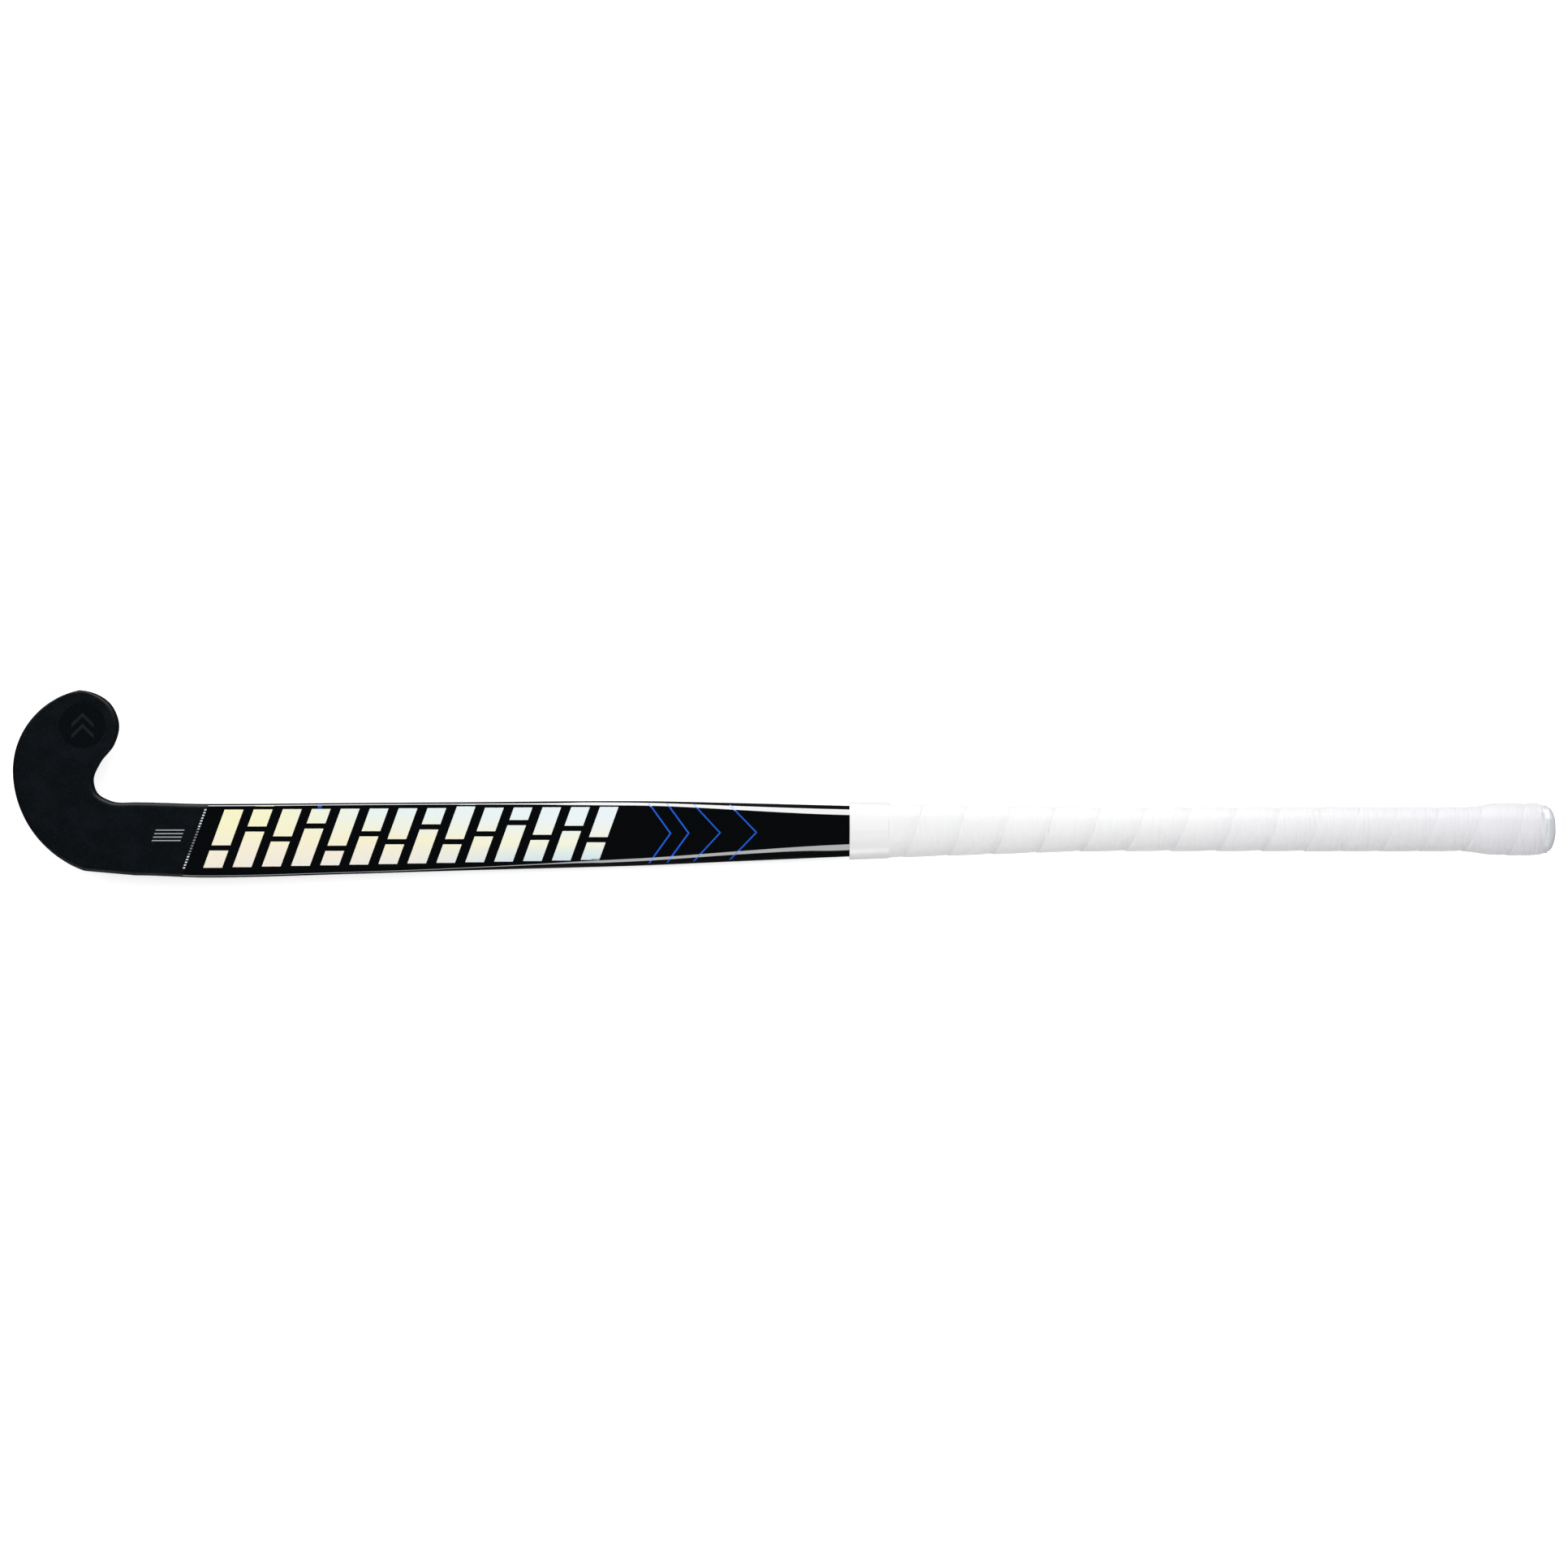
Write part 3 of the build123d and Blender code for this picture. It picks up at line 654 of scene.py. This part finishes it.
def graphic(name, outlines, slot, finish, stands_for=(), row=3.0, lift=GRAPHIC_LIFT):
    """Flat outlines of (u, Y) points, cut into rows and laid on the surface as a thin film."""
    bm = bmesh.new()
    for outline in outlines:
        corners = [bmesh.ops.create_vert(bm, co=(u, y, 0.0))["vert"][0] for u, y in outline]
        bmesh.ops.contextual_create(bm, geom=corners)
    low = min(v.co.y for v in bm.verts)
    high = max(v.co.y for v in bm.verts)
    for k in range(1, int((high - low) / row)):
        everything = bm.verts[:] + bm.edges[:] + bm.faces[:]
        spot = (0, low + k * row, 0)
        bmesh.ops.bisect_plane(bm, geom=everything, dist=1e-5, plane_co=spot, plane_no=(0, 1, 0))
    for v in bm.verts:
        u, y = v.co.x, v.co.y
        v.co = place(u, y, depth_on_face(u, y) - lift)
    obj = piece(name, bm, slot, finish, stands_for, smooth_shading=False)
    up = sum((p.normal.z * p.area for p in obj.data.polygons))
    if up < 0:
        obj.data.flip_normals()
    film = obj.modifiers.new("film", "SOLIDIFY")
    film.thickness = GRAPHIC_THICKNESS * MM
    film.offset = -1.0
    return obj


def slanted_block(u, width, low, high):
    """Corners of a block that leans with the shaft graphics."""
    left_low, left_high = u + SLANT * low, u + SLANT * high
    return [(left_low, low), (left_low + width, low), (left_high + width, high), (left_high, high)]


foil_finish = foil()
TALLER = (1, 8)
SPLITS = [0.34, 0.62, 0.48, 0.70, 0.30, 0.55, 0.40, 0.66, 0.36, 0.52, 0.72, 0.44, 0.60, 0.38]
blocks = []
for number, split in enumerate(SPLITS):
    run = number * FOIL_PITCH
    low = -50.0 + 0.020 * run
    high = -15.0 + 0.007 * run + (2.2 if number in TALLER else 0.0)
    cut = low + (high - low) * split
    for bottom, top in ((low, cut - FOIL_GAP / 2), (cut + FOIL_GAP / 2, high)):
        blocks.append(slanted_block(FOIL_START + run, FOIL_BLOCK, bottom, top))
for group, (first, last) in enumerate(((0, 3), (3, 6), (6, 9), (9, 12), (12, 14)), start=1):
    outlines = blocks[2 * first : 2 * last]
    graphic(f"foil_group_{group}", outlines, "iridescent_foil", foil_finish, [f"foil_blocks_{group}"], 1.5)

bar_drops = [BAR_PITCH * k for k in range(BAR_COUNT)]
grey_bars = [slanted_block(94.6, BAR_LENGTH, -27.65 - drop, -27.0 - drop) for drop in bar_drops]
grey = printed("grey_print", (0.36, 0.37, 0.39), (0.26, 0.27, 0.29))
graphic("grey_bars", grey_bars, "grey_print", grey, ["control_zone_bars"])
tick_rises = [TICK_PITCH * k for k in range(TICK_COUNT)]
tick_marks = [slanted_block(119.0, 1.3, -50.4 + rise, -49.6 + rise) for rise in tick_rises]
graphic("tick_marks", tick_marks, "white_print", tick_print(), ["control_zone_ticks"])


def bent_line(u, reach):
    """Outline of a thin arrow-shaped line from edge to edge of the shaft, pointing at the grip."""
    hook_y, heel_y = edges_at(u)
    top, bottom = hook_y - EDGE_MARGIN, heel_y + EDGE_MARGIN
    left = [(u, bottom), (u + reach, (top + bottom) / 2), (u, top)]
    return left + [(corner_u + LINE_WIDTH, y) for corner_u, y in reversed(left)]


def halves(line):
    """A bent line as two four-sided blocks that meet at the bend."""
    a, b, c, d, e, f = line
    return [[a, f, e, b], [b, e, d, c]]


blue = printed("blue_print", (0.004, 0.100, 0.66), (0.006, 0.12, 0.60), 0.14)
chevron_u = NECK + 0.36 * SHAFT
for number, starts in ((1, ((0.0, 13.0), (11.0, 13.0))), (2, ((27.0, 16.0), (49.0, 16.0)))):
    outlines = []
    for offset, reach in starts:
        outlines += halves(bent_line(chevron_u + offset, reach))
    graphic(f"blue_lines_{number}", outlines, "blue_print", blue, [f"blue_chevron_{number}"], 0.5)
tick_u = NECK + 0.127 * SHAFT
tick_y = edges_at(tick_u)[0] - EDGE_MARGIN
tick_corners = ((0, -1.3), (2.4, -1.3), (2.4, 0), (0, 0))
edge_mark = [(tick_u + du, tick_y + dy) for du, dy in tick_corners]
graphic("edge_mark", [edge_mark], "blue_print", blue, ["blue_edge_tick"], 0.3)

BADGE_POINTS = 96
badge_outline = []
for k in range(BADGE_POINTS):
    t = 2 * pi * k / BADGE_POINTS
    badge_outline.append((BADGE_U + BADGE_RADIUS * cos(t), BADGE_Y + BADGE_RADIUS * sin(t)))
graphic("toe_badge_disc", [badge_outline], "badge_gloss", badge_gloss(), ["toe_badge"])
marks = []
for rise in (-4.5, 2.0):
    y = BADGE_Y + rise
    for side in (-1, 1):
        outer = BADGE_U + side * 6.5
        corners = [(BADGE_U, y + 3.25), (outer, y - 3.25), (outer, y - 0.85), (BADGE_U, y + 5.65)]
        marks.append(corners[::-side])
graphic("toe_badge_marks", marks, "gloss_black_lacquer", badge_marks(), lift=GRAPHIC_LIFT + 0.04)

# ---------------------------------------------------------------- grip


def flare_at(u):
    """How far the collar lifts the tape off the handle's line."""
    return FLARE * smooth(COLLAR_START, COLLAR_START + FLARE_RISE, u)


def end_rounding(u):
    """How far the wound tape draws in over the very end of the flare."""
    over = max(0.0, u - (CAP_START - 5.2))
    return 0.085 * over * over


RING_STEP = 1.5
ROUND_POINTS = 120
SOFTENING = 6
ring_places = [GRIP_START - 2 + RING_STEP * k for k in range(int((LENGTH - GRIP_START + 4) / RING_STEP))]


def softened(points, reach):
    """A closed row of points with its corners rounded off, by averaging over a reach each way."""
    count = len(points)
    out = []
    for k in range(count):
        near = [points[(k + j) % count] for j in range(-reach, reach + 1)]
        out.append(sum(near, Vector()) / len(near))
    return out


def handle_rings(u):
    """Points spaced evenly round the bare shell, the tape's outside above them, plain and softened."""
    inner, outer = shaft_ring(u), shaft_ring(u, -TAPE_TOP)
    lengths = [0.0]
    for a, b in zip(inner, inner[1:] + inner[:1]):
        lengths.append(lengths[-1] + (b - a).length)
    low, high = [], []
    for k in range(ROUND_POINTS):
        target = lengths[-1] * k / ROUND_POINTS
        i = bisect_right(lengths, target) - 1
        s = (target - lengths[i]) / (lengths[i + 1] - lengths[i])
        j = (i + 1) % len(inner)
        low.append(inner[i].lerp(inner[j], s))
        high.append(outer[i].lerp(outer[j], s))
    return low, high, softened(softened(high, SOFTENING), SOFTENING), lengths[-1] / MM


ring_table = [handle_rings(u) for u in ring_places]


def on_handle(u, turn, height, lift=0.0):
    """Point at a share of the way round the handle, a height in the wrapping above the shell (mm)."""
    spot = (u - ring_places[0]) / RING_STEP
    i = min(max(int(spot), 0), len(ring_table) - 2)
    at = turn % 1.0 * ROUND_POINTS
    k = int(at) % ROUND_POINTS
    j = (k + 1) % ROUND_POINTS
    ends = []
    for low, high, soft, girth in ring_table[i : i + 2]:
        base, straight, top = (row[k].lerp(row[j], at - int(at)) for row in (low, high, soft))
        ends.append(base + (top - base) * (height / TAPE_TOP) + (straight - base) * (lift / TAPE_TOP))
    return ends[0].lerp(ends[1], spot - i)


# The tape starts level with the grip's edge and winds to the butt; each turn laps the one before.
SEAM_KNOTS = [(-2, 494.0), (0, 547.0), (4, 654.5), (8, 763.0), (11, 833.0), (14, 909.5), (16, 958.0)]
STEPS_A_TURN = 56
TAPE_TOP_LINE = [(0, 0.80), (0.3, 1.22), (0.9, 1.48), (2, 1.56), (6, 1.54), (15, 1.45), (21.5, 1.18)]
TAPE_TOP_LINE += [(25, 0.80), (27, 0.72), (31, 0.5), (37.4, 0.16)]
TAPE_UNDER_LINE = [(37.2, 0.02), (30, 0.01), (20, 0.01), (13, 0.04), (9, 0.28), (4, 0.64), (1, 0.62)]
# Painted shade along a tape section: full at the seams where turns lap, none over the open middle of the
# tape
SEAM_SHADE_MARKS = [1.0, 0.75, 0.2, 0, 0, 0, 0.15, 0.8, 1, 1, 1] + [1.0] * len(TAPE_UNDER_LINE)
FIRST_SEAM, FIRST_LAP, START_TURN = 547.0, 27.0, 0.28


def tape_section(turns):
    """Cross-section of the tape at a number of turns past its start, on the handle."""
    seam = along(SEAM_KNOTS, turns) if turns > 0 else FIRST_SEAM + FIRST_LAP * turns
    lumps = 0.05 * sin(turns * 9.1) + 0.04 * sin(turns * 23.7 + 1.0)
    out = []
    for index, (a, h) in enumerate(TAPE_TOP_LINE + TAPE_UNDER_LINE):
        top_side = index < len(TAPE_TOP_LINE)
        u = seam + a + (0.35 * sin(turns * 5.3) if a < 2 else 0.0)
        u = max(u, GRIP_START + 0.02 * a + (0.3 if top_side else 0.0))
        u = min(u, CAP_START - 0.2 - 0.01 * (TAPE_WIDTH - a))
        height = TAPE_UNDER + h + (lumps if top_side and a > 1 else 0.0)
        out.append(on_handle(u, turns + START_TURN, height, flare_at(u) - end_rounding(u)))
    return out


FIRST_TURN, LAST_TURN = -1.62, 14.55
WOUND_TURNS = LAST_TURN - FIRST_TURN
count = int(WOUND_TURNS * STEPS_A_TURN)
sections = [tape_section(FIRST_TURN + WOUND_TURNS * k / count) for k in range(count + 1)]
wound = tube(sections, marks=SEAM_SHADE_MARKS)
grip = piece("wound_grip_tape", wound, "white_grip_tape", grip_white(), ["grip_tape"], angle=50)

# Girth round the middle of the strip's thickness, turn by turn; it is worked out but not summed or kept
MID_TAPE, LEAD = 0.7, 26.5
for k in range(count):
    turns = FIRST_TURN + WOUND_TURNS * (k + 0.5) / count
    middle_u = min(max(along(SEAM_KNOTS, turns) + 15, GRIP_START), CAP_START)
    girth = ring_table[int((middle_u - ring_places[0]) / RING_STEP)][3]
    girth += 2 * pi * (TAPE_UNDER + MID_TAPE + flare_at(middle_u))

# Finishing tape over the start of the winding, with its free end on the face
TURN_POINTS = 112
FINISH_LINE = [(0.0, 1.3), (0.05, 2.9), (0.3, 3.15), (1.2, 3.2), (8, 3.2), (16, 3.2), (22.8, 3.2)]
FINISH_LINE += [(23.7, 3.15), (23.95, 2.9), (24.0, 2.3)]


def finishing_ring(a, height):
    """A turn of the finishing tape; its free end stands a little proud on the face."""
    out = []
    for k in range(TURN_POINTS):
        turn = k / TURN_POINTS
        free_end = 0.16 * smooth(0.075, 0.083, turn) * (1 - smooth(0.22, 0.5, turn))
        out.append(on_handle(GRIP_START + a, turn, height + (free_end if height > 2.8 else 0.0) - 0.14))
    return out


finishing = band([finishing_ring(a, h) for a, h in FINISH_LINE] + [finishing_ring(12.0, 2.2)])
piece("finishing_tape_band", finishing, "white_vinyl", vinyl_white(), ["grip_finishing_tape"], angle=50)

# Butt cap: neck inside the tape, a fine rim, then the dome
cap_line = [(SHELL_END + 0.3, 3.3), (CAP_START - 0.6, 3.3), (CAP_START - 0.1, 3.5), (CAP_START + 0.15, 3.45)]
cap_line += [(CAP_START + 0.25, 2.9), (CAP_START + 0.35, 2.5)]
for k in range(1, 19):
    t = pi / 2 * k / 18
    cap_line.append((CAP_START + 0.35 + 4.65 * sin(t), 2.4 - 9.6 * (1 - cos(t))))
shares = [k / TURN_POINTS for k in range(TURN_POINTS)]
cap_rings = [[on_handle(u, share, 1.0, h - 1.0) for share in shares] for u, h in cap_line]
piece("butt_cap_dome", tube(cap_rings), "white_cap", cap_white(), ["butt_cap"], angle=40)

# ---------------------------------------------------------------- inner parts keep their CAD shapes

inner_finishes = {
    "head_core": foam("head_foam", (0.78, 0.72, 0.55), 900.0),
    "head_aramid_wrap": weave("aramid", (0.60, 0.47, 0.10), (0.80, 0.68, 0.25), 0.5),
    "centre_rib": weave("carbon", (0.012, 0.012, 0.014), (0.05, 0.05, 0.055), 0.3),
    "chamber_liner_hook_side": plastic("bladder_film", (0.72, 0.74, 0.76), 0.25, 0.0002),
    "handle_core": foam("handle_foam", (0.85, 0.82, 0.75), 700.0),
    "butt_plug": plastic("plug_plastic", (0.03, 0.03, 0.035), 0.42),
    "butt_collar": foam("collar_foam", (0.70, 0.70, 0.69), 1500.0),
    "grip_cushion": foam("cushion_foam", (0.80, 0.80, 0.78), 1800.0),
}
inner_finishes["chamber_liner_heel_side"] = inner_finishes["chamber_liner_hook_side"]
for node, finish in inner_finishes.items():
    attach(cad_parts[node], "root")
    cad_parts[node].data.materials.clear()
    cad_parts[node].data.materials.append(finish)

# ---------------------------------------------------------------- floor, light and camera

floor_bm = bmesh.new()
bmesh.ops.create_grid(floor_bm, x_segments=1, y_segments=1, size=6.0)
floor_mesh = bpy.data.meshes.new("floor")
floor_bm.to_mesh(floor_mesh)
floor_bm.free()
floor = bpy.data.objects.new("floor", floor_mesh)
bpy.context.scene.collection.objects.link(floor)
paper = Finish("paper", base_color=(0.93, 0.93, 0.93), roughness=0.9, emission_color=(1.0, 1.0, 1.0))
paper.set("Emission Strength", 0.6)
floor_mesh.materials.append(paper.material)
floor.location.z = -0.0005
floor.visible_glossy = False

world = bpy.data.worlds.new("studio")
bpy.context.scene.world = world
world.use_nodes = True
world.node_tree.nodes["Background"].inputs[0].default_value = (0.55, 0.58, 0.62, 1.0)
world.node_tree.nodes["Background"].inputs[1].default_value = 0.05


def soft_light(name, position, aim, size, power, seen_in_gloss):
    """A panel light; those seen in gloss are the bright edges, the others only light what is matte."""
    data = bpy.data.lights.new(name, "AREA")
    data.shape = "RECTANGLE"
    data.size, data.size_y = size
    data.energy = power
    lamp = bpy.data.objects.new(name, data)
    lamp.location = position
    lamp.rotation_euler = (Vector(aim) - Vector(position)).to_track_quat("-Z", "Z").to_euler()
    lamp.visible_glossy = seen_in_gloss
    lamp.visible_diffuse = not seen_in_gloss
    bpy.context.scene.collection.objects.link(lamp)


soft_light("overhead", (0.0, 0.55, 1.5), (0, 0.05, 0), (3.2, 1.6), 41, False)
soft_light("near_fill", (0.0, -1.3, 1.1), (0, 0, 0), (3.0, 0.8), 7, False)
soft_light("far_strip", (0.0, 1.45, 0.31), (0, 0, 0.03), (3.0, 0.52), 76, True)
soft_light("near_strip", (0.0, -1.45, 0.24), (0, 0, 0.03), (3.0, 0.34), 22, True)

camera_data = bpy.data.cameras.new("camera")
LENS, SENSOR = 100.0, 36.0
MID_HEIGHT = 0.030
FRAME_WIDTH = 0.9457
camera_data.lens, camera_data.sensor_width = LENS, SENSOR
camera = bpy.data.objects.new("camera", camera_data)
camera.location = (-0.00115, 0, MID_HEIGHT + FRAME_WIDTH * LENS / SENSOR)
bpy.context.scene.collection.objects.link(camera)
bpy.context.scene.camera = camera
bpy.context.scene.view_settings.view_transform = "Standard"
